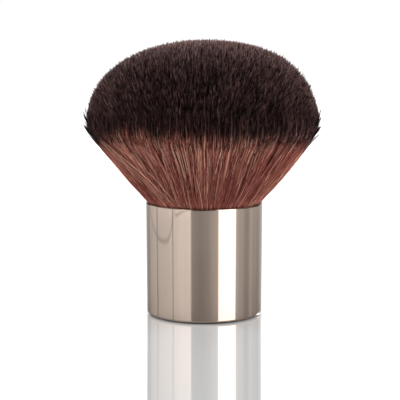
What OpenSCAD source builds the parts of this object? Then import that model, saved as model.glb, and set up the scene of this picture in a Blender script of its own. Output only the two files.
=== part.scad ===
// Short round face brush: a dense domed head of bristles in a polished metal handle.
// Millimetres. Z is the axis, and the brush stands on z = 0 with its head up.

/* [Handle shell] */
// Outer diameter of the shell at its mouth
shell_d = 30; // [26:0.5:34]
// How much narrower the shell is across its foot
shell_taper = 0.4; // [0:0.1:0.8]
// Length of the shell
shell_h = 28.9; // [25:0.1:45]
// Wall of the shell at its foot
shell_wall = 1; // [0.8:0.1:1.4]
// Radius on both edges of the mouth
lip_round = 0.5; // [0.3:0.05:0.55]
// Radius on the outer edge of the foot
foot_round = 0.5; // [0.2:0.05:0.7]

/* [Bristle head] */
// Diameter of the head where it is widest
head_d = 59; // [52:0.2:70]
// Height of the widest place above the mouth
widest_h = 21; // [18:0.1:26]
// How far inside the widest place the straight skirt ends
corner_in = 1.2; // [0.8:0.1:1.6]
// How far below the widest place the straight skirt ends
corner_drop = 4.1; // [3.5:0.1:6]
// Height of the dome above the widest place
dome_h = 19.8; // [14:0.1:26]
// Squareness of the dome's outline, where 2 is an ellipse
dome_power = 2.2; // [2:0.05:3]
// Bristle tufts across the head, so their number is this times itself
tufts_across = 20; // [18:2:22]
// Turn of the rows of tufts from the middle of the head to its edge, in degrees
swirl = 14; // [0:1:20]
// Share of a tuft's length where its lower taper ends
waist_share = 0.5; // [0.3:0.01:0.6]
// Width that is left there, as a share of the room for the tuft
waist_fill = 0.93; // [0.7:0.01:0.97]
// Share of a tuft's length where its point starts
point_share = 0.94; // [0.75:0.01:0.96]
// Width that is left there, as a share of the room for the tuft
point_fill = 0.82; // [0.4:0.01:0.9]
// Height of the tufts' feet above the mouth
tuft_foot_h = 0.65; // [0.5:0.05:1.5]
// Reach of the tufts' feet past the shell's outer edge
overhang = 0.3; // [0.1:0.05:0.6]
// Gap between the roots and the shell's lip
lip_gap = 0.3; // [0.2:0.05:0.5]
// Depth of the roots in the resin
root_dip = 4; // [2:0.5:6]

/* [Root band and resin] */
// Wall of the metal band round the roots
band_wall = 0.4; // [0.3:0.05:0.6]
// Distance of the band's edge below the sleeve's edge
band_setback = 0.5; // [0.2:0.1:1]
// Radius of the tool that presses the crimps
crimp_r = 0.8; // [0.5:0.1:1.2]
// Depth of each crimp
crimp_depth = 0.25; // [0.1:0.05:0.4]
// Number of crimps round the band
crimps = 2; // [1:1:3]
// Height of the resin
resin_h = 8; // [6:0.5:11]
// Wall of resin round the roots
resin_wall = 0.7; // [0.5:0.1:1]

/* [Insert sleeve] */
// Wall of the sleeve
sleeve_wall = 1; // [0.9:0.1:1.4]
// Thickness of the sleeve's floor
sleeve_floor = 2; // [1:0.5:3]
// Distance of the sleeve's edge below the mouth
sleeve_setback = 4; // [3:0.5:6]
// Depth of the groove for the glue
glue_depth = 0.4; // [0.2:0.1:0.6]
// Height of the groove for the glue
glue_h = 5; // [3:0.5:7]
// Number of crush ribs
ribs = 6; // [4:1:12]
// Radius of a crush rib
rib_r = 0.6; // [0.4:0.1:0.8]
// Height of a crush rib
rib_h = 5; // [3:0.5:7]

/* [Weight] */
// Thickness of the steel weight
slug_h = 5; // [3:0.5:6]
// Thickness of the glue bed under the weight
bed_t = 0.2; // [0.1:0.05:0.4]
// Chamfer on the weight's edges
slug_chamfer = 0.4; // [0.2:0.1:0.8]

/* [Base] */
// Thickness of the soft pad that the brush stands on
pad_t = 1; // [0.8:0.1:1.6]
// How far the pad stands below the shell
pad_proud = 0.3; // [0.1:0.05:0.5]
// Radius on the pad's lower edge
pad_round = 0.25; // [0.1:0.05:0.4]
// Thickness of the tape that holds the pad
tape_t = 0.15; // [0.1:0.05:0.3]
// Depth of the base plate's rim inside the foot
plate_recess = 0.25; // [0.1:0.05:0.4]
// Width of the base plate's rim
plate_rim = 1; // [0.8:0.1:1.4]
// Thickness of the base plate's floor
plate_floor = 1.2; // [0.8:0.1:2]
// Height of the base plate's rim above its floor
plate_rim_h = 2; // [1:0.5:3]

/* [Clearances] */
// Hairline left between pieces that are glued or pressed together
fit_gap = 0.05; // [0.03:0.01:0.08]
// Gap between the sleeve and the shell
sleeve_gap = 0.25; // [0.15:0.05:0.4]
// Gap between the root band and the sleeve
band_gap = 0.1; // [0.05:0.05:0.2]
// Gap round the weight
slug_gap = 0.35; // [0.2:0.05:0.6]
// Room over the weight
slug_headroom = 0.4; // [0.2:0.1:0.8]
// Gap round the pad and its tape
pad_gap = 0.15; // [0.1:0.05:0.3]

/* [Hidden] */
$fn = 96;

// Shell
shell_r = shell_d / 2;
foot_r = shell_r - shell_taper / 2;
bore_r = foot_r - shell_wall;
foot_z = pad_proud;
mouth_z = foot_z + shell_h;

// Base, from the surface up
plate_r = bore_r - fit_gap;
plate_in_r = plate_r - plate_rim;
pad_r = plate_in_r - pad_gap;
plate_z = foot_z + plate_recess;
plate_floor_z = pad_t + tape_t;
bed_z = plate_floor_z + plate_floor;
plate_top_z = bed_z + plate_rim_h;

// Weight
slug_r = plate_in_r - slug_gap;
slug_z = bed_z + bed_t;
slug_top_z = slug_z + slug_h;

// Sleeve, which stands on the base plate's rim
sleeve_r = bore_r - sleeve_gap;
sleeve_in_r = sleeve_r - sleeve_wall;
sleeve_z = plate_top_z + fit_gap;
sleeve_top_z = mouth_z - sleeve_setback;
sleeve_floor_z = slug_top_z + slug_headroom;
cup_z = sleeve_floor_z + sleeve_floor;
rib_reach = bore_r - fit_gap;
glue_z = (cup_z + sleeve_top_z - glue_h) / 2;

// Root band and resin, which stand on the sleeve's floor
band_r = sleeve_in_r - band_gap;
band_in_r = band_r - band_wall;
band_z = cup_z + fit_gap;
band_top_z = sleeve_top_z - band_setback;
resin_r = band_in_r - fit_gap;
resin_z = band_z + fit_gap;
resin_top_z = resin_z + resin_h;
crimp_centre_r = band_r + crimp_r - crimp_depth;
crimp_step = resin_h / (crimps + 1);

// Bristle roots
root_r = resin_r - resin_wall - fit_gap;
root_z = resin_top_z - root_dip + fit_gap;
throat_r = bore_r - lip_gap;
lip_z = mouth_z - lip_round;
lip_in_r = bore_r + lip_round;
wrap_r = lip_round + lip_gap;
tuft_foot_r = shell_r + overhang;
tuft_foot_z = mouth_z + tuft_foot_h;

// Bristle head. Every tuft leans away from one point on the axis, deep in the shell.
head_r = head_d / 2;
skirt_r = head_r - corner_in;
widest_z = mouth_z + widest_h;
skirt_lean = (skirt_r - tuft_foot_r) / (widest_z - corner_drop - tuft_foot_z);
fan_h = tuft_foot_r / skirt_lean;
fan_z = tuft_foot_z - fan_h;
widest_lean = head_r / (widest_z - fan_z);
grid = [for (i = [0 : tufts_across]) 2 * i / tufts_across - 1];
HALVINGS = 24;

// A square from -1 to 1 spread over a disc of radius 1, ring by ring
function spread(u, v) =
    u == 0 && v == 0 ? [0, 0]
    : abs(u) > abs(v) ? u * [cos(45 * v / u), sin(45 * v / u)]
    : v * [sin(45 * u / v), cos(45 * u / v)];

// The same with the outer rings turned, so that no row runs straight through the head
function on_disc(u, v) =
    let (p = spread(u, v), a = swirl * norm(p))
    [p.x * cos(a) - p.y * sin(a), p.x * sin(a) + p.y * cos(a)];

// How far past the dome a point is that leans this much at height z, below zero inside it
function past_dome(lean, z) =
    pow((z - fan_z) * lean / head_r, dome_power) + pow((z - widest_z) / dome_h, dome_power) - 1;

// Height at which a tuft of this lean meets the dome, by halving
function dome_z(lean, low, high, left) =
    let (middle = (low + high) / 2)
    left == 0 ? middle
    : past_dome(lean, middle) < 0 ? dome_z(lean, middle, high, left - 1)
    : dome_z(lean, low, middle, left - 1);

// Radius of the rounded corner under the widest place, for a tuft of this lean
function corner_r(lean) =
    head_r - (head_r - skirt_r) * pow((lean - widest_lean) / (skirt_lean - widest_lean), 2);

// Height of the tip of a tuft of this lean
function tip_z(lean) =
    lean < widest_lean ? dome_z(lean, widest_z, widest_z + dome_h, HALVINGS)
    : fan_z + corner_r(lean) / lean;

// The point at height z on the line from the fan point through p, a place on the unit disc
function along(p, z) =
    let (stretch = (z - fan_z) / fan_h)
    [p.x * tuft_foot_r * stretch, p.y * tuft_foot_r * stretch, z];

// The four corners of a tuft's cell, anticlockwise from above
function cell(i, j) = [
    on_disc(grid[i], grid[j]),
    on_disc(grid[i + 1], grid[j]),
    on_disc(grid[i + 1], grid[j + 1]),
    on_disc(grid[i], grid[j + 1])
];

function middle_of(c) = (c[0] + c[1] + c[2] + c[3]) / 4;

// A tuft's own points: four at its waist, four at the shoulder of its point, and its tip
TUFT_POINTS = 9;
function tuft_points(i, j) =
    let (
        c = cell(i, j),
        m = middle_of(c),
        top = tip_z(norm(m) * skirt_lean),
        waist_z = tuft_foot_z + waist_share * (top - tuft_foot_z),
        point_z = tuft_foot_z + point_share * (top - tuft_foot_z)
    )
    concat(
        [for (p = c) along(m + waist_fill * (p - m), waist_z)],
        [for (p = c) along(m + point_fill * (p - m), point_z)],
        [along(m, top)]
    );

// Two triangles for the quad a, b, c, d
function quad(a, b, c, d) = [[a, b, c], [a, c, d]];

module handle_shell() {
    color([0.78, 0.70, 0.64])
    rotate_extrude()
    union() {
        polygon([
            [bore_r, foot_z], [foot_r - foot_round, foot_z], [foot_r - foot_round, foot_z + foot_round],
            [foot_r, foot_z + foot_round], [shell_r, lip_z], [shell_r - lip_round, lip_z],
            [shell_r - lip_round, mouth_z], [lip_in_r, mouth_z], [lip_in_r, lip_z], [bore_r, lip_z]
        ]);
        translate([foot_r - foot_round, foot_z + foot_round]) circle(foot_round);
        translate([shell_r - lip_round, lip_z]) circle(lip_round);
        translate([lip_in_r, lip_z]) circle(lip_round);
    }
}

module insert_sleeve() {
    color([0.12, 0.12, 0.13])
    difference() {
        union() {
            translate([0, 0, sleeve_z]) cylinder(h = sleeve_top_z - sleeve_z, r = sleeve_r);
            for (k = [0 : ribs - 1])
                rotate(360 * k / ribs)
                translate([rib_reach - rib_r, 0, sleeve_z + rib_r]) cylinder(h = rib_h, r = rib_r);
        }
        translate([0, 0, cup_z]) cylinder(h = sleeve_top_z, r = sleeve_in_r);
        translate([0, 0, sleeve_z - sleeve_floor])
            cylinder(h = sleeve_floor_z - sleeve_z + sleeve_floor, r = sleeve_in_r);
        translate([0, 0, glue_z]) difference() {
            cylinder(h = glue_h, r = shell_r);
            translate([0, 0, -glue_h]) cylinder(h = 3 * glue_h, r = sleeve_r - glue_depth);
        }
    }
}

module glue_ring() {
    color([0.86, 0.82, 0.62])
    translate([0, 0, glue_z + fit_gap]) difference() {
        cylinder(h = glue_h - 2 * fit_gap, r = bore_r - fit_gap);
        translate([0, 0, -glue_h]) cylinder(h = 3 * glue_h, r = sleeve_r - glue_depth + fit_gap);
    }
}

// The presses of the crimping tool, grown by a margin, as circles on the profile
module crimp_presses(margin) {
    for (k = [1 : crimps])
        translate([crimp_centre_r, resin_z + k * crimp_step]) circle(crimp_r + margin);
}

module root_band() {
    color([0.80, 0.81, 0.82])
    rotate_extrude()
    difference() {
        intersection() {
            union() {
                translate([band_in_r, band_z]) square([band_wall, band_top_z - band_z]);
                crimp_presses(band_wall);
            }
            translate([0, band_z]) square([band_r, band_top_z - band_z]);
        }
        crimp_presses(0);
    }
}

module potting_resin() {
    color([0.80, 0.70, 0.42])
    difference() {
        rotate_extrude()
        difference() {
            translate([0, resin_z]) square([resin_r, resin_h]);
            crimp_presses(band_wall + fit_gap);
        }
        translate([0, 0, resin_top_z - root_dip]) cylinder(h = resin_h, r = resin_r - resin_wall);
    }
}

// The slice of packed roots, with one pointed tuft on each cell of its top, as one closed surface
module bristle_bundle() {
    side = tufts_across + 1;
    edge = concat(
        [for (i = [0 : tufts_across - 1]) i],
        [for (j = [0 : tufts_across - 1]) tufts_across + j * side],
        [for (i = [tufts_across : -1 : 1]) i + tufts_across * side],
        [for (j = [tufts_across : -1 : 1]) j * side]
    );
    rim = len(edge);
    // The outline of the roots, from their foot in the resin to where they wrap over the lip
    outline = [
        [root_r, root_z], [root_r, band_top_z], [throat_r, lip_z],
        [lip_in_r - wrap_r * cos(45), lip_z + wrap_r * sin(45)], [lip_in_r, lip_z + wrap_r]
    ];
    feet = [for (v = grid, u = grid) along(on_disc(u, v), tuft_foot_z)];
    tufts = [
        for (j = [0 : tufts_across - 1], i = [0 : tufts_across - 1], p = tuft_points(i, j)) p
    ];
    roots = [
        for (o = outline, e = edge)
            let (a = atan2(feet[e].y, feet[e].x))
            [o.x * cos(a), o.x * sin(a), o.y]
    ];
    tufts_at = len(feet);
    roots_at = tufts_at + len(tufts);
    centre_at = roots_at + len(roots);
    tuft_faces = [
        for (j = [0 : tufts_across - 1], i = [0 : tufts_across - 1])
            let (
                f = j * side + i,
                foot = [f, f + 1, f + 1 + side, f + side],
                own = tufts_at + TUFT_POINTS * (j * tufts_across + i)
            )
            for (k = [0 : 3])
                let (n = (k + 1) % 4)
                for (t = concat(
                    quad(foot[k], own + k, own + n, foot[n]),
                    quad(own + k, own + 4 + k, own + 4 + n, own + n),
                    [[own + 4 + k, own + TUFT_POINTS - 1, own + 4 + n]]
                )) t
    ];
    root_faces = [
        for (k = [0 : rim - 1])
            let (n = (k + 1) % rim, last = roots_at + (len(outline) - 1) * rim)
            for (t = concat(
                [[roots_at + k, roots_at + n, centre_at]],
                [
                    for (o = [0 : len(outline) - 2])
                        let (low = roots_at + o * rim, high = low + rim)
                        for (q = quad(low + k, high + k, high + n, low + n)) q
                ],
                quad(last + k, edge[k], edge[n], last + n)
            )) t
    ];
    color([0.22, 0.14, 0.13])
    polyhedron(
        points = concat(feet, tufts, roots, [[0, 0, root_z]]),
        faces = concat(tuft_faces, root_faces)
    );
}

module weight_slug() {
    color([0.55, 0.56, 0.58])
    rotate_extrude()
    polygon([
        [0, slug_z], [slug_r - slug_chamfer, slug_z], [slug_r, slug_z + slug_chamfer],
        [slug_r, slug_top_z - slug_chamfer], [slug_r - slug_chamfer, slug_top_z], [0, slug_top_z]
    ]);
}

module weight_glue() {
    color([0.90, 0.88, 0.78])
    translate([0, 0, bed_z]) cylinder(h = bed_t, r = slug_r - slug_chamfer);
}

module base_plate() {
    color([0.10, 0.09, 0.09])
    difference() {
        translate([0, 0, plate_z]) cylinder(h = plate_top_z - plate_z, r = plate_r);
        translate([0, 0, bed_z]) cylinder(h = plate_top_z, r = plate_in_r);
        cylinder(h = plate_floor_z, r = plate_in_r);
    }
}

module pad_tape() {
    color([0.85, 0.85, 0.82])
    translate([0, 0, pad_t]) cylinder(h = tape_t, r = pad_r);
}

module base_pad() {
    color([0.13, 0.10, 0.09])
    rotate_extrude()
    union() {
        square([pad_r - pad_round, pad_t]);
        translate([0, pad_round]) square([pad_r, pad_t - pad_round]);
        translate([pad_r - pad_round, pad_round]) circle(pad_round);
    }
}

handle_shell();
insert_sleeve();
glue_ring();
root_band();
potting_resin();
bristle_bundle();
weight_slug();
weight_glue();
base_plate();
pad_tape();
base_pad();
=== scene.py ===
"""Looks of a short round face brush: a dense domed head of two-tone bristles in a polished champagne shell.

Lengths are in metres, in the frame of the CAD part: Z is the axis, the brush stands on z = 0, and its front
faces -Y.
"""

import math

import bpy
import numpy as np
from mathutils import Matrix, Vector


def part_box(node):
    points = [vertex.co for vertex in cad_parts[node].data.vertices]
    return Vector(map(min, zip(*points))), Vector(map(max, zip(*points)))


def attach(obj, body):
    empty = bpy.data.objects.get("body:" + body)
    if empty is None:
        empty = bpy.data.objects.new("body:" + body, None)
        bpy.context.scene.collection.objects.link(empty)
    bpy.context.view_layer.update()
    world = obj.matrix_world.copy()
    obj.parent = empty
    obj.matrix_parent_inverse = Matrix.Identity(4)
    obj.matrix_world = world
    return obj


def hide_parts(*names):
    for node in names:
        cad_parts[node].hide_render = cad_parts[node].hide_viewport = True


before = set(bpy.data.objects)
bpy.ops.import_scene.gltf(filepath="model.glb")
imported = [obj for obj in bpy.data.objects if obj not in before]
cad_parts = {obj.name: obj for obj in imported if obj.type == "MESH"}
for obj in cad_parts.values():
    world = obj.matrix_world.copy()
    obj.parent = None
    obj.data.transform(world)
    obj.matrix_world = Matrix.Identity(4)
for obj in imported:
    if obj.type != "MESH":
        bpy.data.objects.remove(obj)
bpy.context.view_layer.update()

MM = 0.001
BODY = "root"
TINY = 1e-12
rng = np.random.default_rng(7)

# Sizes from the frame
_, SHELL_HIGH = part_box("handle_shell")
_, HEAD_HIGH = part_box("bristle_bundle")
SHELL_R = SHELL_HIGH.x
MOUTH_Z = SHELL_HIGH.z
TOP_Z = HEAD_HIGH.z

# Head, as the part's source has it: its widest place, the dome over it and the rounded corner under it
HEAD_R = 29.4 * MM
WIDEST_H = 21 * MM
DOME_H = TOP_Z - MOUTH_Z - WIDEST_H
DOME_POWER = 2.2
CORNER_IN = 1.2 * MM
CORNER_DROP = 4.1 * MM
# Where the outermost bristles pass over the shell's lip, and how far inside it they begin
LIP_RISE = 0.65 * MM
FOOT_R = SHELL_R + 0.3 * MM
FOOT_Z = MOUTH_Z + LIP_RISE
THROAT_R = SHELL_R - 1.5 * MM
ROOT_IN = 1.1 * MM
ROOT_DROP = 1.2 * MM

# A lean is a bristle's radius over its height above the fan point, which lies on the axis, below the mouth
WIDEST_Z = MOUTH_Z + WIDEST_H
SKIRT_R = HEAD_R - CORNER_IN
SKIRT_LEAN = (SKIRT_R - FOOT_R) / (WIDEST_Z - CORNER_DROP - FOOT_Z)
FAN_H = FOOT_R / SKIRT_LEAN
FAN_Z = FOOT_Z - FAN_H
WIDEST_LEAN = HEAD_R / (WIDEST_Z - FAN_Z)
CORNER_WAY = math.hypot(SKIRT_R - FOOT_R, WIDEST_Z - CORNER_DROP - FOOT_Z)
# How far the skirt is drawn in halfway between the lip and the corner, as a share of its radius
WAIST = 0.025
# The head's bulge to the left at its widest place, and how far its top lies to the right and up
BULGE = 0.45 * MM
TOP_ASIDE = 0.5 * MM
TOP_LIFT = 0.4 * MM

# The bristles' colour map: across, from dark to pale; along, from the root over the two tones to the tip
UV_NAME = "OFBake"
MAP_START = -4 * MM
MAP_LENGTH = 45 * MM
MAP_BODY = 0.9
MAP_TIP = 0.999
STRIP = 0.004
# Where the dark zone starts lower or higher: angle and half width in degrees, and how many millimetres lower
TONE_SHIFTS = ((0, 34, 5.4), (180, 34, 5.4), (236, 18, -1.6), (308, 14, 0.9))
# Waves of that border round the axis: millimetres, numbers of waves, and seed
TONE_WAVES = ((0.5, (5, 9, 14, 20), 3), (0.6, (31, 44, 57, 71), 4))
# How much the border differs between single bristles, in millimetres, and the way over which it all sets in
TONE_SCATTER = 1.2
TONE_RISE = 10 * MM

# Camera
LENS = 138.0
CAMERA_PLACE = (-1.1 * MM, -390 * MM, 85.1 * MM)
CAMERA_DIP = 8.135


def make_camera():
    """The photograph's view: from the front, a little above, with the axis just right of the middle."""
    data = bpy.data.cameras.new("camera")
    data.sensor_width = 36
    data.lens = LENS
    data.clip_start = 0.01
    data.clip_end = 20
    camera = bpy.data.objects.new("camera", data)
    bpy.context.scene.collection.objects.link(camera)
    camera.location = CAMERA_PLACE
    camera.rotation_euler = (math.radians(90 - CAMERA_DIP), 0, 0)
    bpy.context.scene.camera = camera


# Shape of the head

HALVINGS = 30
LEAN_STEPS = 2000
# Points along the outline, up the straight skirt and over the dome, and the lean at its end by the axis
SKIRT_POINTS = 40
DOME_POINTS = 600
LEAST_LEAN = 0.01
# How far past the skirt's lean the corner's curve still goes on, as a share of the corner
PAST_CORNER = 1.3


def tip_height(lean):
    """Height at which a bristle of this lean meets the outline: found by halving on the dome, and by a
    formula at the corner."""
    low = np.full_like(lean, WIDEST_Z)
    high = np.full_like(lean, WIDEST_Z + DOME_H)
    for _ in range(HALVINGS):
        middle = (low + high) / 2
        across = (middle - FAN_Z) * lean / HEAD_R
        up = (middle - WIDEST_Z) / DOME_H
        inside = across**DOME_POWER + up**DOME_POWER < 1
        low = np.where(inside, middle, low)
        high = np.where(inside, high, middle)
    share = np.clip((lean - WIDEST_LEAN) / (SKIRT_LEAN - WIDEST_LEAN), 0, PAST_CORNER)
    corner_r = HEAD_R - CORNER_IN * share**2
    return np.where(lean < WIDEST_LEAN, low, FAN_Z + corner_r / np.maximum(lean, TINY))


def leans_by_area(count, least, most):
    """Leans drawn so that the tips cover the dome evenly, between two leans."""
    lean = np.linspace(least, most, LEAN_STEPS)
    z = tip_height(lean)
    r = lean * (z - FAN_Z)
    area = np.concatenate([[0], np.cumsum(np.hypot(np.diff(r), np.diff(z)) * (r[1:] + r[:-1]))])
    return np.interp(rng.uniform(0, area[-1], count), area, lean)


def round_axis(r, angle, z):
    """Points from their radius, angle and height."""
    return np.stack([r * np.cos(angle), r * np.sin(angle), z], -1)


def fan_line(angle, lean, z):
    """Points at height z on the line of this lean from the fan point."""
    return round_axis(lean * (z - FAN_Z), angle, z)


def outline_walk(way):
    """Radius and height at a way along the head's outline from the lip, over the corner, up the dome, and the
    outward direction there as its part along the radius and its part along the axis."""
    share = np.linspace(0, 1, SKIRT_POINTS)[:-1]
    corner_z = float(tip_height(np.array([SKIRT_LEAN]))[0])
    lean = np.linspace(SKIRT_LEAN, LEAST_LEAN, DOME_POINTS)
    z = np.concatenate([FOOT_Z + (corner_z - FOOT_Z) * share, tip_height(lean)])
    r = np.concatenate([FOOT_R + (SKIRT_R - FOOT_R) * share, lean * (z[len(share):] - FAN_Z)])
    ways = np.concatenate([[0], np.cumsum(np.hypot(np.diff(r), np.diff(z)))])
    rise, grow = np.gradient(z, ways), np.gradient(r, ways)
    return tuple(np.interp(way, ways, values) for values in (r, z, rise, -grow))


def smooth_step(x):
    """From 0 to 1 without a corner, and held at both ends."""
    x = np.clip(x, 0, 1)
    return x * x * (3 - 2 * x)


def slump(paths):
    """The head's slight bulge to the left at its widest place, and its top a little to the right and up."""
    height = (paths[..., 2] - MOUTH_Z) / (TOP_Z - MOUTH_Z)
    moved = paths.copy()
    moved[..., 0] -= BULGE * smooth_step((height - 0.2) / 0.25) * smooth_step((1 - height) / 0.4)
    moved[..., 0] += TOP_ASIDE * smooth_step((height - 0.7) / 0.3)
    moved[..., 2] += TOP_LIFT * smooth_step((height - 0.7) / 0.25)
    return moved


# Tones of the bristles

# Strands round the axis, the length of the pieces that each is cut into, and how many tones these have
STRANDS = 620
STRAND_LENGTH = 5 * MM
STRAND_TONES = 64
STRAND_SEED = 11


def ring_noise(angle, waves, seed):
    """A smooth random function of the angle round the axis, about -1 to 1."""
    draw = np.random.default_rng(seed)
    total = np.zeros_like(angle)
    for k in waves:
        total += np.sin(k * angle + draw.uniform(0, 2 * np.pi)) / np.sqrt(len(waves))
    return total


def colour_shift(angle, travel):
    """How much nearer to the mouth the dark zone starts on this side of the head. It is 0 at the roots."""
    shift = 0
    for degrees, width, lower in TONE_SHIFTS:
        away = (angle - math.radians(degrees) + np.pi) % (2 * np.pi) - np.pi
        shift = shift + lower * np.exp(-((away / math.radians(width)) ** 2))
    for height, waves, seed in TONE_WAVES:
        shift = shift + height * ring_noise(angle, waves, seed)
    shift = shift + rng.normal(0, TONE_SCATTER, len(angle))
    return (shift * MM)[:, None] * smooth_step(travel / TONE_RISE)


def strand_tone(angle, along):
    """A tone of about -1 to 1 that neighbouring bristles share, in strands that are cut into lengths."""
    draw = np.random.default_rng(STRAND_SEED)
    strand = np.floor(angle / (2 * np.pi) * STRANDS).astype(int) % STRANDS
    start = draw.uniform(0, 1, STRANDS)
    tones = draw.normal(0, 0.6, (STRANDS, STRAND_TONES))
    return tones[strand, np.floor(along / STRAND_LENGTH + start[strand]).astype(int) % STRAND_TONES]


# Bristles as meshes

SIDES = 3


def tapered(thick, *shares):
    """Radii along each bristle, from its thickness in millimetres and the share of it at each ring."""
    return thick[:, None] * MM * np.array(shares)


def tube_points(paths, radii):
    """Vertices of the tubes: SIDES of them round every place of a path but the last, and one at the last."""
    count, rings, _ = paths.shape
    body = rings - 1
    along = np.gradient(paths, axis=1)
    along /= np.maximum(np.linalg.norm(along, axis=2, keepdims=True), TINY)
    start = rng.normal(size=(count, 1, 3))
    side = np.cross(along, start)
    side /= np.maximum(np.linalg.norm(side, axis=2, keepdims=True), TINY)
    other = np.cross(along, side)
    turn = 2 * np.pi * np.arange(SIDES)[:, None] / SIDES
    circle = side[:, :body, None] * np.cos(turn) + other[:, :body, None] * np.sin(turn)
    tube = paths[:, :body, None] + circle * radii[:, :body, None, None]
    points = np.concatenate([tube.reshape(count, body * SIDES, 3), paths[:, -1:]], axis=1)
    return points.reshape(-1, 3)


def tube_faces(count, rings):
    """The vertices of all faces in turn, walls first and tips after them, and how many each face has."""
    k = np.arange(SIDES)
    n = (k + 1) % SIDES
    last = (rings - 2) * SIDES
    wall = np.stack([k, n, SIDES + n, SIDES + k], 1)
    walls = np.concatenate([wall + ring for ring in range(0, last, SIDES)])
    tips = np.stack([last + k, last + n, np.full(SIDES, last + SIDES)], 1)
    first = np.arange(count)[:, None, None] * (last + SIDES + 1)
    loops = np.concatenate([(faces + first).ravel() for faces in (walls, tips)])
    totals = np.repeat([4, 3], [count * len(walls), count * len(tips)])
    return loops.astype(np.int32), totals.astype(np.int32)


def way_share(travel):
    """Where on the colour map a distance from the mouth lies."""
    return np.clip((travel - MAP_START) / MAP_LENGTH, 0.002, MAP_BODY - 0.05)


def map_places(shade, travel):
    """Where each vertex of the tubes lies on the colour map."""
    count, rings = travel.shape
    body = rings - 1
    middle = np.clip(shade, 3 * STRIP, 1 - 3 * STRIP).reshape(count, -1)
    middle = np.broadcast_to(middle, (count, rings))
    across = middle[:, :body, None] + STRIP * np.linspace(-1, 1, SIDES)
    u = np.concatenate([across.reshape(count, -1), middle[:, body:]], axis=1)
    along = np.repeat(way_share(travel)[:, :body], SIDES, axis=1)
    v = np.concatenate([along, np.full((count, 1), MAP_TIP)], axis=1)
    return np.stack([u.ravel(), v.ravel()], 1)


def bristle_mesh(name, paths, radii, shade, travel):
    """One mesh of tapered tubes. paths is (count, rings, 3), and radii (count, rings), where the last ring is
    a point. shade, (count,) or (count, rings), picks the column of the colour map, and travel is the way
    along it, (count, rings)."""
    count, rings, _ = paths.shape
    points = tube_points(paths, radii)
    loops, totals = tube_faces(count, rings)
    starts = np.concatenate([[0], np.cumsum(totals)[:-1]]).astype(np.int32)

    mesh = bpy.data.meshes.new(name)
    mesh.vertices.add(len(points))
    mesh.vertices.foreach_set("co", points.astype(np.float32).ravel())
    mesh.loops.add(len(loops))
    mesh.loops.foreach_set("vertex_index", loops)
    mesh.polygons.add(len(totals))
    mesh.polygons.foreach_set("loop_start", starts)
    mesh.polygons.foreach_set("loop_total", totals)
    mesh.polygons.foreach_set("use_smooth", np.ones(len(totals), bool))
    mesh.update(calc_edges=True)

    uv = map_places(shade, travel)[loops]
    mesh.uv_layers.new(name=UV_NAME).uv.foreach_set("vector", uv.astype(np.float32).ravel())
    return mesh


def add_piece(name, mesh, material, slot, *nodes):
    """Links a piece of the object that stands for these CAD nodes."""
    piece = bpy.data.objects.new(name, mesh)
    bpy.context.scene.collection.objects.link(piece)
    mesh.materials.append(material)
    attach(piece, BODY)
    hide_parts(*nodes)


# Bristles of the dome

# Places of the rings along the part that shows, of the dense bristles and of the wisps
TIP_STEPS = np.array([0, 0.75, 1])
WISP_STEPS = np.array([0, 0.4, 0.75, 1])
# Leans up to which they stand, against the skirt's
DOME_EDGE = 0.955
WISP_EDGE = 0.97
# Share of the clumps that stand up from the others, and share of the bristles that are pale
RAISED_SHARE = 0.09
PALE_SHARE = 0.08
# How far along the colour map a wisp lies: past the border of the two tones
WISP_TRAVEL = 34 * MM


def dome_bristles(clumps, each):
    """The ends of the bristles, which make the dome, gathered in fine points."""
    count = clumps * each
    own = np.repeat(np.arange(clumps), each)
    lean = leans_by_area(clumps, 0.0, SKIRT_LEAN * DOME_EDGE)
    angle = rng.uniform(0, 2 * np.pi, clumps)
    tip = fan_line(angle, lean, tip_height(lean))
    fan = np.array([0, 0, FAN_Z])
    length = np.linalg.norm(tip - fan, axis=1)
    heading = (tip - fan) / length[:, None]
    tone = strand_tone(angle, np.hypot(tip[:, 0], tip[:, 1]) - tip[:, 2])

    scatter = np.minimum(rng.exponential(0.1, clumps), 0.8) * MM
    level = (0.22 + 0.07 * tone - 0.3 * lean / SKIRT_LEAN) * MM
    raised = rng.uniform(size=clumps) < RAISED_SHARE
    short = np.where(raised, -rng.uniform(0.3, 0.85, clumps) * MM, scatter - level)
    ends = (length - short)[own] - np.minimum(rng.exponential(0.45, count), 2) * MM
    shown = rng.uniform(5, 7, count) * MM
    reach = ends[:, None] - shown[:, None] * (1 - TIP_STEPS)
    paths = fan + heading[own][:, None] * reach[..., None]
    apart = rng.normal(0, 0.14 * MM, (count, 1, 3))
    paths = paths + apart * (1 - 0.6 * TIP_STEPS)[None, :, None]
    together = rng.normal(0, 0.08 * MM, (clumps, 1, 3))[own]
    paths = paths + together * (TIP_STEPS**1.5)[None, :, None]
    radii = tapered(rng.uniform(0.055, 0.105, count), 1, 0.95, 0)

    travel = reach - (FAN_H - LIP_RISE) * np.hypot(1, lean)[own][:, None]
    travel = travel + colour_shift(angle[own], travel)
    shade = 0.32 + 0.1 * tone[own] + rng.normal(0, 0.34, count)
    # Painted light: bristles near the top of the dome get a paler shade, standing in for the back light that
    # catches their tips there
    shade = shade + 0.36 * smooth_step(1.15 - lean[own] / (0.55 * SKIRT_LEAN))
    pale = rng.uniform(size=count) < PALE_SHARE
    shade = np.where(pale, rng.uniform(0.75, 1, count), shade)
    return slump(paths), radii, travel, angle[own], shade


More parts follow.
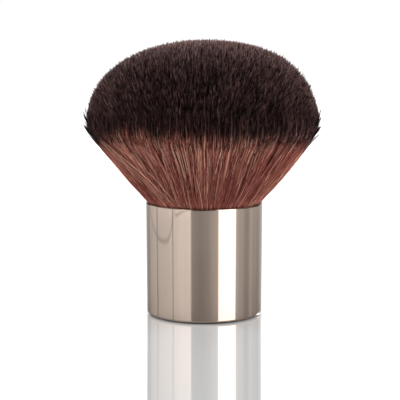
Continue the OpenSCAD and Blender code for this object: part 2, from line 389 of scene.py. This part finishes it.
def dome_wisps(count):
    """Single pale bristles that lean across the others and stand a little proud of the dome."""
    lean = leans_by_area(count, 0.0, SKIRT_LEAN * WISP_EDGE)
    angle = rng.uniform(0, 2 * np.pi, count)
    tip = fan_line(angle, lean, tip_height(lean))
    heading = tip - np.array([0, 0, FAN_Z])
    heading /= np.linalg.norm(heading, axis=1, keepdims=True)
    tilt = rng.normal(0, 0.16, (count, 3))
    tilt[:, 2] += 0.12
    leant = heading + tilt - heading * np.sum(tilt * heading, axis=1, keepdims=True)
    leant /= np.linalg.norm(leant, axis=1, keepdims=True)
    proud = rng.uniform(0.1, 0.85, count)[:, None] * MM
    shown = rng.uniform(2.5, 7, count)[:, None] * MM
    end = tip + heading * proud
    paths = end[:, None] - (leant * shown)[:, None] * (1 - WISP_STEPS)[None, :, None]
    radii = tapered(rng.uniform(0.035, 0.055, count), 1, 1, 0.85, 0)
    travel = np.full((count, len(WISP_STEPS)), WISP_TRAVEL)
    shade = rng.uniform(0.5, 0.95, count)
    return slump(paths), radii, travel, shade


# Bristles of the skirt, at their full length

# Places of their rings, from the lip to the tip
SKIRT_STEPS = np.array([0, 0.04, 0.4, 0.64, 0.76, 0.88, 0.96, 1])
# Share of them that go on past the corner, up the dome's side
UPPER_SHARE = 0.65
# How deep the deepest locks lie under the skirt's surface, as a share of its radius
DEEPEST = 0.13
# How far those on the dome's side sink into it towards their tips
WALL_SINK = 0.4 * MM
# Shade of those that go on past the corner, on average, and the palest that any has on the dome's side
USUAL_SHADE = 0.45
WALL_PALEST = 0.85


def tuck_roots(r, z):
    """Puts each bristle's first ring inside the shell, below its lip."""
    r[:, 0] = np.minimum(r[:, 0] - ROOT_IN, THROAT_R)
    z[:, 0] = MOUTH_Z - ROOT_DROP


def skirt_bristles(locks, each):
    """The outermost bristles at their full length, from inside the shell, over its lip, along the skirt, and
    many of them on up the dome's side, in pairs or locks side by side. Painted shade makes the deeper ones
    that end at the corner darker, so those on top are the palest."""
    count = locks * each
    own = np.repeat(np.arange(locks), each)
    middle = rng.uniform(0, 2 * np.pi, locks)
    upper = rng.uniform(size=count) < UPPER_SHARE
    beyond = np.minimum(rng.exponential(3.0, count), 9)
    beyond = np.where(upper, beyond, -np.minimum(rng.exponential(0.8, count), 3))
    end = CORNER_WAY + beyond * MM
    way = end[:, None] * SKIRT_STEPS
    r, z, out, up = outline_walk(way)
    past = way - CORNER_WAY
    wall = smooth_step((past + 5 * MM) / (7 * MM))

    inset = DEEPEST * (rng.uniform(0, 1, locks) ** 1.2)[own] + rng.uniform(0, 0.004, count)
    r = r * (1 - inset[:, None] * (0.4 + 0.6 * smooth_step(way / (9 * MM))) * (1 - wall))
    r = r * (1 - WAIST * np.sin(np.pi * np.clip(way / CORNER_WAY, 0, 1)))
    proud = rng.uniform(-0.15, 0.12, count)[:, None] * MM * wall
    proud = proud + rng.uniform(-0.25, 0.25, count)[:, None] * MM * np.clip(past / (6 * MM), 0, 1)
    proud = proud - WALL_SINK * smooth_step((past - 3 * MM) / (5 * MM))
    r, z = r + proud * out, z + proud * up
    tuck_roots(r, z)

    turned = (middle[own] + rng.normal(0, 0.0024, count))[:, None]
    turned = turned + rng.normal(0, 0.005, (count, 1)) * SKIRT_STEPS
    turned = turned + rng.normal(0, 0.018, locks)[own][:, None] * SKIRT_STEPS
    turned = turned + rng.normal(0, 0.007, locks)[own][:, None] * np.sin(1.5 * np.pi * SKIRT_STEPS)
    paths = round_axis(r, turned, z)
    radii = tapered(rng.uniform(0.055, 0.1, count), 1, 1, 1, 1, 0.95, 0.85, 0.55, 0)

    travel = way + LIP_RISE
    travel[:, 0] = -ROOT_DROP
    travel = travel + colour_shift(middle[own], travel)
    # Painted shade: of the bristles that end at the corner, those lying deeper under the skirt's surface get
    # a darker shade
    shade = np.where(upper, USUAL_SHADE, 0.36 + 0.32 * np.exp(-inset / 0.006))
    shade = shade + rng.normal(0, 0.05, locks)[own] + rng.normal(0, 0.32, count)
    pale = rng.uniform(size=count) < PALE_SHARE
    shade = np.where(pale, rng.uniform(0.7, 1, count), shade)
    wall_shade = np.minimum(0.56 + 0.75 * (shade - USUAL_SHADE), WALL_PALEST)
    shade = shade[:, None] * (1 - wall) + wall_shade[:, None] * wall
    return slump(paths), radii, travel, middle[own], shade


# Loose bristles, at their full length

# Places of their rings, from the lip to the tip
STRAY_STEPS = np.array([0, 0.05, 0.45, 0.8, 0.95, 1])
# Groups of them, in their order, and how many each has
STRAYS = {"side": 180, "past": 550, "beside": 900, "rim": 320, "corner": 130, "cross": 10, "pale": 40}
# Groups that follow the skirt: how far they spread about the head's two sides, or None for all round, their
# leans against the skirt's, their lengths in millimetres, the spread of their bend, and their shades
ALONG_SKIRT = {
    "beside": (None, (0.975, 1.03), (25, 36.5), 0.07, (0.38, 0.66)),
    # The rim group's pale shades are partly loose pale bristles and partly painted rim light on the head's
    # two edges
    "rim": (0.24, (0.97, 1.025), (27, 37), 0.06, (0.7, 1)),
    "corner": (0.3, (0.985, 1.01), (36.3, 38.8), 0.05, (0.1, 0.6)),
}
# Radii that those at the sides reach with their tips, in millimetres
SIDE_TIPS = (29.2, 31.0)
# Where on the front the crossing ones start, in degrees
CROSS_ANGLE = 241


def at_sides(count, apart):
    """Angles that spread about the head's right and left side."""
    return rng.choice([0, np.pi], count) + rng.normal(0, apart, count)


def stray_paths(angle, lean, top, bend):
    """Paths from inside the shell, over its lip, to a height, and the way along them. Lean and bend change
    along STRAY_STEPS."""
    z = FOOT_Z + (top - FOOT_Z)[:, None] * STRAY_STEPS
    r = lean * (z - FAN_Z)
    tuck_roots(r, z)
    paths = round_axis(r, angle[:, None] + bend, z)
    return paths, np.hypot(z - MOUTH_Z, r - FOOT_R) * np.sign(z - MOUTH_Z)


def stray_bristles():
    """Loose bristles: standing out at the head's two sides, past its edge, along the skirt, at both rims and
    both corners of the outline, across the front left, and pale ones all round."""
    ends = np.cumsum(list(STRAYS.values())).tolist()
    groups = {name: slice(end - size, end) for (name, size), end in zip(STRAYS.items(), ends)}
    count = ends[-1]
    angle = rng.uniform(0, 2 * np.pi, count)
    slack = rng.uniform(0.9, 1.012, count)
    sweep = rng.normal(0, 0.04, count)
    shade = rng.uniform(0.2, 0.75, count)
    reach = tip_height(SKIRT_LEAN * slack) - FAN_Z + np.minimum(rng.exponential(0.55, count), 2) * MM

    group, size = groups["side"], STRAYS["side"]
    angle[group] = at_sides(size, 0.14)
    reach[group] = rng.uniform(36.5, 43.5, size) * MM
    slack[group] = rng.uniform(*SIDE_TIPS, size) * MM / reach[group] / SKIRT_LEAN
    shade[group] = rng.uniform(0.1, 0.5, size)
    for name, (apart, leans, lengths, bend, shades) in ALONG_SKIRT.items():
        group, size = groups[name], STRAYS[name]
        if apart is not None:
            angle[group] = at_sides(size, apart)
        slack[group] = rng.uniform(*leans, size)
        reach[group] = rng.uniform(*lengths, size) * MM
        sweep[group] = rng.normal(0, bend, size)
        shade[group] = rng.uniform(*shades, size)
    group, size = groups["cross"], STRAYS["cross"]
    angle[group] = math.radians(CROSS_ANGLE) + rng.normal(0, 0.15, size)
    slack[group] = rng.uniform(1.01, 1.04, size)
    reach[group] = rng.uniform(31.5, 36.5, size) * MM
    sweep[group] = -rng.uniform(0.15, 0.5, size)
    # Their pale shades are partly their own lighter tone and partly a painted highlight where the light
    # catches them
    shade[group] = rng.uniform(0.92, 1, size)
    group, size = groups["pale"], STRAYS["pale"]
    slack[group] = rng.uniform(1.005, 1.03, size)
    reach[group] = rng.uniform(25, 35, size) * MM
    shade[group] = rng.uniform(0.85, 1, size)

    at_side = np.arange(count)[:, None] < STRAYS["side"]
    bow = np.where(at_side, STRAY_STEPS**4, smooth_step(STRAY_STEPS / 0.5))
    lean = SKIRT_LEAN * (1 + (slack - 1)[:, None] * bow)
    bend = sweep[:, None] * smooth_step(STRAY_STEPS * 0.9)
    paths, travel = stray_paths(angle, lean, FAN_Z + reach, bend)
    thick = rng.uniform(0.04, 0.065, count)
    thick[groups["side"]] = rng.uniform(0.05, 0.12, STRAYS["side"])
    thick[groups["corner"]] = rng.uniform(0.055, 0.1, STRAYS["corner"])
    thick[groups["cross"].start:] = rng.uniform(0.035, 0.05, STRAYS["cross"] + STRAYS["pale"])
    radii = tapered(thick, 1, 1, 1, 0.95, 0.75, 0)
    travel = travel + colour_shift(angle, travel)
    return slump(paths), radii, travel, shade


# The packed bristles inside

CORE_TURNS = 96
# How far the core stays under the tips, and its lean under the corner, against the skirt's
CORE_UNDER = 3.2 * MM
CORE_LEAN = 0.94
# Radius and height of its two lowest rings, inside the shell
CORE_FOOT = ((THROAT_R - 0.3 * MM, MOUTH_Z - 0.2 * MM), (THROAT_R - 0.5 * MM, MOUTH_Z - 3 * MM))


def core_mesh():
    """One closed form of revolution, from its middle at the top down to its foot."""
    leans = np.concatenate([np.linspace(0.0001, SKIRT_LEAN * 0.9, 26), [SKIRT_LEAN * 0.935]])
    heights = tip_height(leans) - CORE_UNDER
    profile = [(lean * (z - FAN_Z), z) for lean, z in zip(leans, heights)]
    for share in (0.75, 0.5, 0.25, 0.06):
        z = FOOT_Z + (heights[-1] - FOOT_Z) * share
        profile.append((SKIRT_LEAN * CORE_LEAN * (z - FAN_Z), z))
    profile.extend(CORE_FOOT)

    turn = 2 * np.pi * np.arange(CORE_TURNS) / CORE_TURNS
    points = [(r * math.cos(a), r * math.sin(a), z) for r, z in profile for a in turn]
    lowest = (len(profile) - 1) * CORE_TURNS
    faces = []
    for ring in range(0, lowest, CORE_TURNS):
        under = ring + CORE_TURNS
        for k in range(CORE_TURNS):
            n = (k + 1) % CORE_TURNS
            faces.append((ring + k, under + k, under + n, ring + n))
    faces.append(list(range(CORE_TURNS)))
    faces.append([lowest + k for k in reversed(range(CORE_TURNS))])
    mesh = bpy.data.meshes.new("bristle_core")
    mesh.from_pydata(points, [], faces)
    mesh.update()
    mesh.polygons.foreach_set("use_smooth", np.ones(len(mesh.polygons), bool))
    return mesh


# Nodes of materials


def linear(*srgb):
    """Linear numbers of an sRGB colour given in 0 to 255."""
    return tuple((c / 255 / 12.92) if c <= 10 else ((c / 255 + 0.055) / 1.055) ** 2.4 for c in srgb)


def new_material(name, colour, metallic=0.0, roughness=0.5):
    """A node material, its tree, and its Principled shader."""
    material = bpy.data.materials.new(name)
    material.use_nodes = True
    tree = material.node_tree
    shader = tree.nodes["Principled BSDF"]
    shader.inputs["Base Color"].default_value = (*colour, 1)
    shader.inputs["Metallic"].default_value = metallic
    shader.inputs["Roughness"].default_value = roughness
    return material, tree, shader


def feed(tree, socket, value):
    """Sets an input to a number or a colour, or links another node's output to it."""
    if isinstance(value, tuple):
        socket.default_value = (*value, 1)
    elif isinstance(value, (int, float)):
        socket.default_value = value
    else:
        tree.links.new(value, socket)


def ramp(tree, stops, value):
    """A colour ramp through (position, colour) stops."""
    node = tree.nodes.new("ShaderNodeValToRGB")
    elements = node.color_ramp.elements
    while len(elements) < len(stops):
        elements.new(0.5)
    for element, (position, colour) in zip(elements, stops):
        element.position = position
        element.color = (*colour, 1)
    tree.links.new(value, node.inputs["Fac"])
    return node.outputs["Color"]


def maths(tree, operation, a, b=0.0):
    """One operation on outputs or numbers."""
    node = tree.nodes.new("ShaderNodeMath")
    node.operation = operation
    for socket, value in zip(node.inputs, (a, b)):
        feed(tree, socket, value)
    return node.outputs["Value"]


def spread(tree, value, low, high, out_low, out_high):
    """A value mapped smoothly from one range to another, and held at its ends."""
    node = tree.nodes.new("ShaderNodeMapRange")
    node.interpolation_type = "SMOOTHSTEP"
    tree.links.new(value, node.inputs["Value"])
    for name, number in (("From Min", low), ("From Max", high), ("To Min", out_low), ("To Max", out_high)):
        node.inputs[name].default_value = number
    return node.outputs["Result"]


def mixed_value(tree, factor, a, b):
    """A where the factor is 0, and b where it is 1."""
    node = tree.nodes.new("ShaderNodeMix")
    for place, value in ((0, factor), (2, a), (3, b)):
        feed(tree, node.inputs[place], value)
    return node.outputs[0]


def mixed(tree, blend, factor, a, b):
    """A colour mix of two outputs or colours."""
    node = tree.nodes.new("ShaderNodeMix")
    node.data_type = "RGBA"
    node.blend_type = blend
    for place, value in ((0, factor), (6, a), (7, b)):
        feed(tree, node.inputs[place], value)
    return node.outputs[2]


def object_place(tree):
    """The place on the object, in metres."""
    return tree.nodes.new("ShaderNodeTexCoord").outputs["Object"]


def noise(tree, place, scale, detail):
    """A noise of 0 to 1 at this place."""
    node = tree.nodes.new("ShaderNodeTexNoise")
    node.inputs["Scale"].default_value = scale
    node.inputs["Detail"].default_value = detail
    tree.links.new(place, node.inputs["Vector"])
    return node.outputs["Fac"]


def axes_of(tree, vector):
    """The X, Y and Z outputs of a vector."""
    node = tree.nodes.new("ShaderNodeSeparateXYZ")
    tree.links.new(vector, node.inputs[0])
    return node.outputs


# Materials of the bristles

# Tones across the colour map, from dark to pale: of the roots' half, of the dark zone, and of the tips, whose
# paler tones are partly their own and partly painted light from above and behind
BROWNS = (
    (0, linear(36, 12, 8)), (0.25, linear(92, 39, 32)), (0.5, linear(158, 86, 76)),
    (0.75, linear(220, 143, 123)), (1, linear(255, 211, 184)),
)
DARKS = (
    (0, linear(4, 2, 2)), (0.25, linear(13, 5, 5)), (0.5, linear(27, 10, 10)),
    (0.75, linear(61, 37, 36)), (1, linear(142, 110, 105)),
)
TIPS = ((0, linear(18, 9, 9)), (0.5, linear(94, 62, 60)), (1, linear(226, 184, 176)))
# Millimetres from the mouth over which the dark zone sets in, painted shade darkens the bristles towards
# their roots, and the painted shade inside the lip begins
DARK_ZONE = (20.0, 25.2)
ROOT_SHADE_ZONE = (10, 0)
LIP_ZONE = (0.4, -0.6)
ROOT_SHADE_TINT = (0.83, 0.79, 0.78)
LIP_SHADE = linear(40, 18, 14)


def zone(tree, along, first, last):
    """From 0 to 1 between two distances from the mouth, in millimetres, on the colour map."""
    start, end = (float(way_share(mm * MM)) for mm in (first, last))
    if start < end:
        return spread(tree, along, start, end, 0, 1)
    return spread(tree, along, end, start, 1, 0)


def bristle_material():
    """Two-tone fibre: reddish brown from the root, near-black from under the dome, with a paler tip that is
    partly its own tone and partly painted light, and painted shade at the roots by the lip.
    """
    material, tree, shader = new_material("bristle_fibre", linear(110, 65, 55), roughness=0.4)
    uv = tree.nodes.new("ShaderNodeUVMap")
    uv.uv_map = UV_NAME
    across, along, _ = axes_of(tree, uv.outputs["UV"])
    dark = zone(tree, along, *DARK_ZONE)
    colour = mixed(tree, "MIX", dark, ramp(tree, BROWNS, across), ramp(tree, DARKS, across))
    # Painted shade: darker towards the roots, and darker still inside the lip
    colour = mixed(tree, "MULTIPLY", zone(tree, along, *ROOT_SHADE_ZONE), colour, ROOT_SHADE_TINT)
    colour = mixed(tree, "MIX", zone(tree, along, *LIP_ZONE), colour, LIP_SHADE)
    # Paler tips: partly their own tone, partly painted light that catches them from above and behind
    ends = spread(tree, along, MAP_BODY + 0.03, 1, 0, 1)
    colour = mixed(tree, "MIX", ends, colour, ramp(tree, TIPS, across))
    tree.links.new(colour, shader.inputs["Base Color"])
    shader.inputs["Specular IOR Level"].default_value = 0.12
    return material


def core_material():
    """The shade between the bristles, by height: brown in the skirt, and near-black in the dome."""
    material, tree, shader = new_material("bristle_shade", linear(30, 18, 17), roughness=0.8)
    height = maths(tree, "DIVIDE", axes_of(tree, object_place(tree))["Z"], TOP_Z)
    dark = linear(20, 12, 12)
    stops = ((0.42, linear(60, 29, 24)), (0.60, linear(70, 37, 30)), (0.66, dark), (1, dark))
    tree.links.new(ramp(tree, stops, height), shader.inputs["Base Color"])
    return material


# Materials of the shell and of the pieces in it

# The plating's tone and its two extremes, how finely its polishing marks repeat across and along the shell,
# its least roughness, and what the marks add to it at most
PLATING = (0.80, 0.65, 0.545)
PLATING_TONES = ((0.3, (0.78, 0.63, 0.525)), (0.7, (0.82, 0.67, 0.565)))
MARKS = (900, 900, 60)
POLISH = 0.012
HAZE = 0.02
# Finishes of the other CAD nodes: the nodes, the material, its dark and its light tone, its grain's scale,
# and its roughness, metallic and bump
FINISHES = (
    (("base_pad",), "foot_foam", linear(24, 19, 18), linear(40, 33, 31), 4000, 0.85, 0, 0.4),
    (("base_plate",), "plate_plastic", linear(22, 20, 20), linear(32, 29, 29), 2500, 0.5, 0, 0.2),
    (("insert_sleeve",), "sleeve_plastic", linear(28, 28, 30), linear(40, 40, 42), 2500, 0.5, 0, 0.2),
    (("pad_tape",), "tape_paper", linear(200, 198, 190), linear(222, 220, 214), 3000, 0.7, 0, 0),
    (
        ("glue_ring", "weight_glue"),
        "set_glue", linear(205, 196, 160), linear(228, 220, 190), 600, 0.25, 0, 0,
    ),
    (("potting_resin",), "amber_resin", linear(168, 128, 62), linear(204, 166, 96), 500, 0.2, 0, 0),
    (("root_band",), "band_aluminium", (0.70, 0.71, 0.72), (0.82, 0.83, 0.84), 1500, 0.35, 1, 0),
    (("weight_slug",), "slug_steel", (0.42, 0.43, 0.45), (0.56, 0.57, 0.59), 1500, 0.4, 1, 0),
)
GRAIN_DEPTH = 0.05 * MM


def shell_material():
    """Mirror-polished champagne plating with the faintest haze of polishing marks."""
    material, tree, shader = new_material("champagne_plating", PLATING, metallic=1.0, roughness=0.025)
    stretch = tree.nodes.new("ShaderNodeMapping")
    stretch.inputs["Scale"].default_value = MARKS
    tree.links.new(object_place(tree), stretch.inputs["Vector"])
    marks = noise(tree, stretch.outputs["Vector"], 1.0, 3.0)
    tree.links.new(ramp(tree, PLATING_TONES, marks), shader.inputs["Base Color"])
    rough = maths(tree, "ADD", maths(tree, "MULTIPLY", marks, HAZE), POLISH)
    tree.links.new(rough, shader.inputs["Roughness"])
    return material


def grained_material(name, dark, light, scale, roughness, metallic, bump):
    """A plain finish with a fine grain: moulded plastic, foam, glue, resin, tape or sawn metal."""
    material, tree, shader = new_material(name, light, metallic, roughness)
    grain = noise(tree, object_place(tree), scale, 4.0)
    tree.links.new(ramp(tree, ((0.35, dark), (0.65, light)), grain), shader.inputs["Base Color"])
    if bump:
        node = tree.nodes.new("ShaderNodeBump")
        node.inputs["Strength"].default_value = bump
        node.inputs["Distance"].default_value = GRAIN_DEPTH
        tree.links.new(grain, node.inputs["Height"])
        tree.links.new(node.outputs["Normal"], shader.inputs["Normal"])
    return material


def finish_node(name, material):
    """Gives a CAD node its material."""
    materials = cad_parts[name].data.materials
    materials.clear()
    materials.append(material)


# Lamps

# Name, azimuth and elevation in degrees, width, height, radiance, and whether the shell mirrors the lamp
LAMPS = (
    ("low_left", -108, 7, 0.35, 0.2, 15.5, False),
    ("low_right", 108, 7, 0.35, 0.2, 19.0, False),
    ("low_front", 10, 14, 0.3, 0.2, 2.6, False),
    ("high_back", 175, 28, 0.5, 0.3, 9.5, True),
    ("high_left", -60, 55, 0.3, 0.3, 1.5, True),
)
LAMP_DISTANCE = 0.7
LAMP_AIM = Vector((0, 0, 0.035))


def area_light(name, azimuth, elevation, width, height, radiance, mirrored):
    """A soft rectangular light. Azimuth 0 is the camera's side, and it grows to the right."""
    data = bpy.data.lights.new(name, "AREA")
    data.shape = "RECTANGLE"
    data.size = width
    data.size_y = height
    data.energy = radiance * math.pi * width * height
    light = bpy.data.objects.new(name, data)
    bpy.context.scene.collection.objects.link(light)
    a, e = math.radians(azimuth), math.radians(elevation)
    reach = Vector((math.sin(a) * math.cos(e), -math.cos(a) * math.cos(e), math.sin(e))) * LAMP_DISTANCE
    light.location = reach + LAMP_AIM
    light.rotation_euler = (-reach).to_track_quat("-Z", "Y").to_euler()
    light.visible_camera = False
    light.visible_glossy = mirrored


# Table

TABLE_HALF = 3.0
TABLE_Z = -0.02 * MM
# Its white, as the lamps light it and as the shell sees it
TABLE_WHITE = 0.8
TABLE_IN_SHELL = 0.5
# What the camera sees on top of that: so much round the brush, and from none to so much more between two
# distances from it
TABLE_GLOW = 0.46
FAR_GLOW = (0.08, 0.4, 0.0, 0.8)
# How far the contact shadow reaches from the foot
CONTACT = 2 * MM
# How strongly it mirrors: two slants of the view, the steep one first, and the shares mirrored there
TABLE_GLOSS = (0.2, 0.7, 0.08, 0.58)


def table_white(tree):
    """The table's own white, and the glow that lifts it towards the photograph's white background."""
    path = tree.nodes.new("ShaderNodeLightPath")
    matt = tree.nodes.new("ShaderNodeBsdfDiffuse")
    dull = mixed_value(tree, path.outputs["Is Glossy Ray"], TABLE_WHITE, TABLE_IN_SHELL)
    tree.links.new(dull, matt.inputs["Color"])
    place = tree.nodes.new("ShaderNodeNewGeometry")
    far = tree.nodes.new("ShaderNodeVectorMath")
    far.operation = "LENGTH"
    tree.links.new(place.outputs["Position"], far.inputs[0])
    lift = maths(tree, "ADD", spread(tree, far.outputs["Value"], *FAR_GLOW), TABLE_GLOW)
    close = tree.nodes.new("ShaderNodeAmbientOcclusion")
    close.inputs["Distance"].default_value = CONTACT
    lift = maths(tree, "MULTIPLY", lift, close.outputs["AO"])
    glow = tree.nodes.new("ShaderNodeEmission")
    tree.links.new(maths(tree, "MULTIPLY", path.outputs["Is Camera Ray"], lift), glow.inputs["Strength"])
    lit = tree.nodes.new("ShaderNodeAddShader")
    tree.links.new(matt.outputs[0], lit.inputs[0])
    tree.links.new(glow.outputs[0], lit.inputs[1])
    return lit.outputs[0]


def table_material():
    """White under a gloss that grows as the view gets flatter."""
    material = bpy.data.materials.new("white_table")
    material.use_nodes = True
    tree = material.node_tree
    tree.nodes.clear()
    out = tree.nodes.new("ShaderNodeOutputMaterial")
    white = table_white(tree)
    gloss = tree.nodes.new("ShaderNodeBsdfGlossy")
    gloss.inputs["Color"].default_value = (1, 1, 1, 1)
    gloss.inputs["Roughness"].default_value = 0
    slant = tree.nodes.new("ShaderNodeLayerWeight")
    slant.inputs["Blend"].default_value = 0.5
    mix = tree.nodes.new("ShaderNodeMixShader")
    tree.links.new(spread(tree, slant.outputs["Facing"], *TABLE_GLOSS), mix.inputs["Fac"])
    tree.links.new(white, mix.inputs[1])
    tree.links.new(gloss.outputs[0], mix.inputs[2])
    tree.links.new(mix.outputs[0], out.inputs["Surface"])
    return material


def make_floor():
    """A glossy white table top, which mirrors the shell and keeps its shadow."""
    mesh = bpy.data.meshes.new("floor")
    corners = [(x * TABLE_HALF, y * TABLE_HALF, TABLE_Z) for x, y in ((-1, -1), (1, -1), (1, 1), (-1, 1))]
    mesh.from_pydata(corners, [], [(0, 1, 2, 3)])
    mesh.materials.append(table_material())
    floor = bpy.data.objects.new("floor", mesh)
    bpy.context.scene.collection.objects.link(floor)


# Studio, as the shell mirrors it by way of the table

# Azimuth in degrees, and how bright the studio is there
STUDIO = (
    (-180, 1.0), (-162, 0.3), (-153, 0.02), (-140, 0.02), (-134, 0.25), (-112, 0.45), (-90, 0.56),
    (-66, 0.70), (-50, 0.85), (-40, 0.93), (-27.5, 0.98), (-25, 0.15), (-17, 0.07), (-8, 0.04),
    (5, 0.1), (27, 0.40), (29.3, 3.2), (63.5, 3.2), (65.5, 0.45), (84, 0.18), (88, 0.03),
    (98, 0.01), (101, 0.18), (111, 0.22), (114, 0.03), (117, 0.03), (120, 0.18), (125, 0.02),
    (136, 0.02), (150, 0.25), (162, 0.6), (180, 1.0),
)
# Thin edges in it: azimuth and half width in degrees, and the share of light left there
EDGES = (
    (-107, 2.6, 0.2), (-65, 2.0, 0.4), (-38, 1.2, 0.88), (-12, 1.5, 1.35), (10, 1.5, 0.75), (74, 1.5, 0.6),
)
# A lead that hangs in a loop beside the table and then runs on to its end: azimuths in degrees, and heights
# as sines of elevation
LEAD = {
    "left": -131, "middle": -80, "right": -59, "end": -28,
    "loop_middle": 0.1786, "loop_ends": 0.1582, "run_start": 0.1645, "run_end": 0.1590,
}
# Half widths of its dark middle and of its soft edge, as sines of elevation, and the share of light left
LEAD_WIDTHS = (0.0006, 0.0024)
LEAD_LEFT = 0.42
# Light added to the left of the lead's end: two heights, and the shares of light added there
LOW_GLOW = (0.158, 0.172, 0.2, 0)
# The studio is dimmer higher up: two heights, and the shares of light there
HIGH_UP = (0.15, 0.35, 1.0, 0.45)
# The world's light on what isn't a mirror
WORLD_LIGHT = 0.68


def hanging_lead(tree, degrees, height):
    """How much light passes the lead: a loop that hangs down, and its end, which runs up to the right."""
    away = maths(tree, "SUBTRACT", degrees, LEAD["middle"])
    share = maths(
        tree,
        "MAXIMUM",
        maths(tree, "DIVIDE", away, LEAD["right"] - LEAD["middle"]),
        maths(tree, "DIVIDE", away, LEAD["left"] - LEAD["middle"]),
    )
    drop = LEAD["loop_middle"] - LEAD["loop_ends"]
    dropped = maths(tree, "MULTIPLY", maths(tree, "MULTIPLY", share, share), drop)
    loop = maths(tree, "SUBTRACT", LEAD["loop_middle"], dropped)
    slope = (LEAD["run_end"] - LEAD["run_start"]) / (LEAD["end"] - LEAD["right"])
    rise = maths(tree, "MULTIPLY", maths(tree, "SUBTRACT", degrees, LEAD["right"]), slope)
    run = maths(tree, "ADD", rise, LEAD["run_start"])
    beyond = maths(tree, "GREATER_THAN", degrees, LEAD["right"])
    gap = maths(tree, "ABSOLUTE", maths(tree, "SUBTRACT", height, mixed_value(tree, beyond, loop, run)))
    past_end = spread(tree, degrees, LEAD["end"] - 1, LEAD["end"], 0, 1)
    return maths(tree, "MAXIMUM", spread(tree, gap, *LEAD_WIDTHS, LEAD_LEFT, 1.0), past_end)


def studio_light(tree, turn, height):
    """How bright the studio is at a turn, 0 to 1 from behind and round by the left, and at a height."""
    top = max(tone for _, tone in STUDIO)
    stops = [(degrees / 360 + 0.5, (tone / top,) * 3) for degrees, tone in STUDIO]
    studio = maths(tree, "MULTIPLY", ramp(tree, stops, turn), top)
    degrees = maths(tree, "MULTIPLY", maths(tree, "SUBTRACT", turn, 0.5), 360)
    for centre, half, kept in EDGES:
        away = maths(tree, "ABSOLUTE", maths(tree, "SUBTRACT", degrees, centre))
        studio = maths(tree, "MULTIPLY", studio, spread(tree, away, half * 0.4, half, kept, 1.0))
    studio = maths(tree, "MULTIPLY", studio, hanging_lead(tree, degrees, height))
    left = spread(tree, degrees, LEAD["end"], LEAD["end"] + 1, 1, 0)
    glow = maths(tree, "MULTIPLY", left, spread(tree, height, *LOW_GLOW))
    return maths(tree, "MULTIPLY", studio, maths(tree, "ADD", glow, 1.0))


def make_world():
    """White where the camera sees it or its mirror image in the table, and the studio in the shell."""
    world = bpy.data.worlds.new("world")
    bpy.context.scene.world = world
    world.use_nodes = True
    tree = world.node_tree
    background = tree.nodes["Background"]
    background.inputs["Color"].default_value = (1, 1, 1, 1)
    path = tree.nodes.new("ShaderNodeLightPath")
    toward = tree.nodes.new("ShaderNodeTexCoord")
    x, y, height = axes_of(tree, toward.outputs["Generated"])
    azimuth = maths(tree, "ARCTAN2", x, maths(tree, "MULTIPLY", y, -1))
    turn = maths(tree, "ADD", maths(tree, "DIVIDE", azimuth, 2 * math.pi), 0.5)
    studio = studio_light(tree, turn, height)
    once = maths(tree, "LESS_THAN", path.outputs["Glossy Depth"], 1.5)
    table = maths(tree, "MULTIPLY", once, path.outputs["Is Singular Ray"])
    above = spread(tree, height, *HIGH_UP)
    mirrored = mixed_value(tree, table, maths(tree, "MULTIPLY", studio, above), 1.0)
    seen = maths(tree, "MAXIMUM", path.outputs["Is Camera Ray"], path.outputs["Is Transmission Ray"])
    plain = mixed_value(tree, seen, WORLD_LIGHT, 1.0)
    strength = mixed_value(tree, path.outputs["Is Glossy Ray"], plain, mirrored)
    tree.links.new(strength, background.inputs["Strength"])


# The scene

HEAD_SETS = (
    ("bristle_tips", 40000, 12000, 3, 6, dome_bristles),
    ("bristle_skirt", 7500, 2500, 2, 4, skirt_bristles),
)
WISPS = 3000

make_camera()
make_floor()
make_world()
for lamp in LAMPS:
    area_light(*lamp)

fibre = bristle_material()
for kind, many, few, each, pieces, make in HEAD_SETS:
    paths, radii, travel, angle, shade = make(many, each)
    sector = np.floor(angle / (2 * np.pi) * pieces).astype(int) % pieces
    for k in range(pieces):
        own = sector == k
        mesh = bristle_mesh(f"{kind}_{k + 1}", paths[own], radii[own], shade[own], travel[own])
        add_piece(f"{kind}_{k + 1}", mesh, fibre, "bristle", "bristle_bundle")

loose = {"bristle_strays": stray_bristles(), "bristle_wisps": dome_wisps(WISPS)}
for name, (paths, radii, travel, shade) in loose.items():
    add_piece(name, bristle_mesh(name, paths, radii, shade, travel), fibre, "bristle", "bristle_bundle")
add_piece("bristle_core", core_mesh(), core_material(), "bristle", "bristle_bundle")

finish_node("handle_shell", shell_material())
for nodes, *finish in FINISHES:
    material = grained_material(*finish)
    for node in nodes:
        finish_node(node, material)

bpy.context.scene.view_settings.view_transform = "Standard"
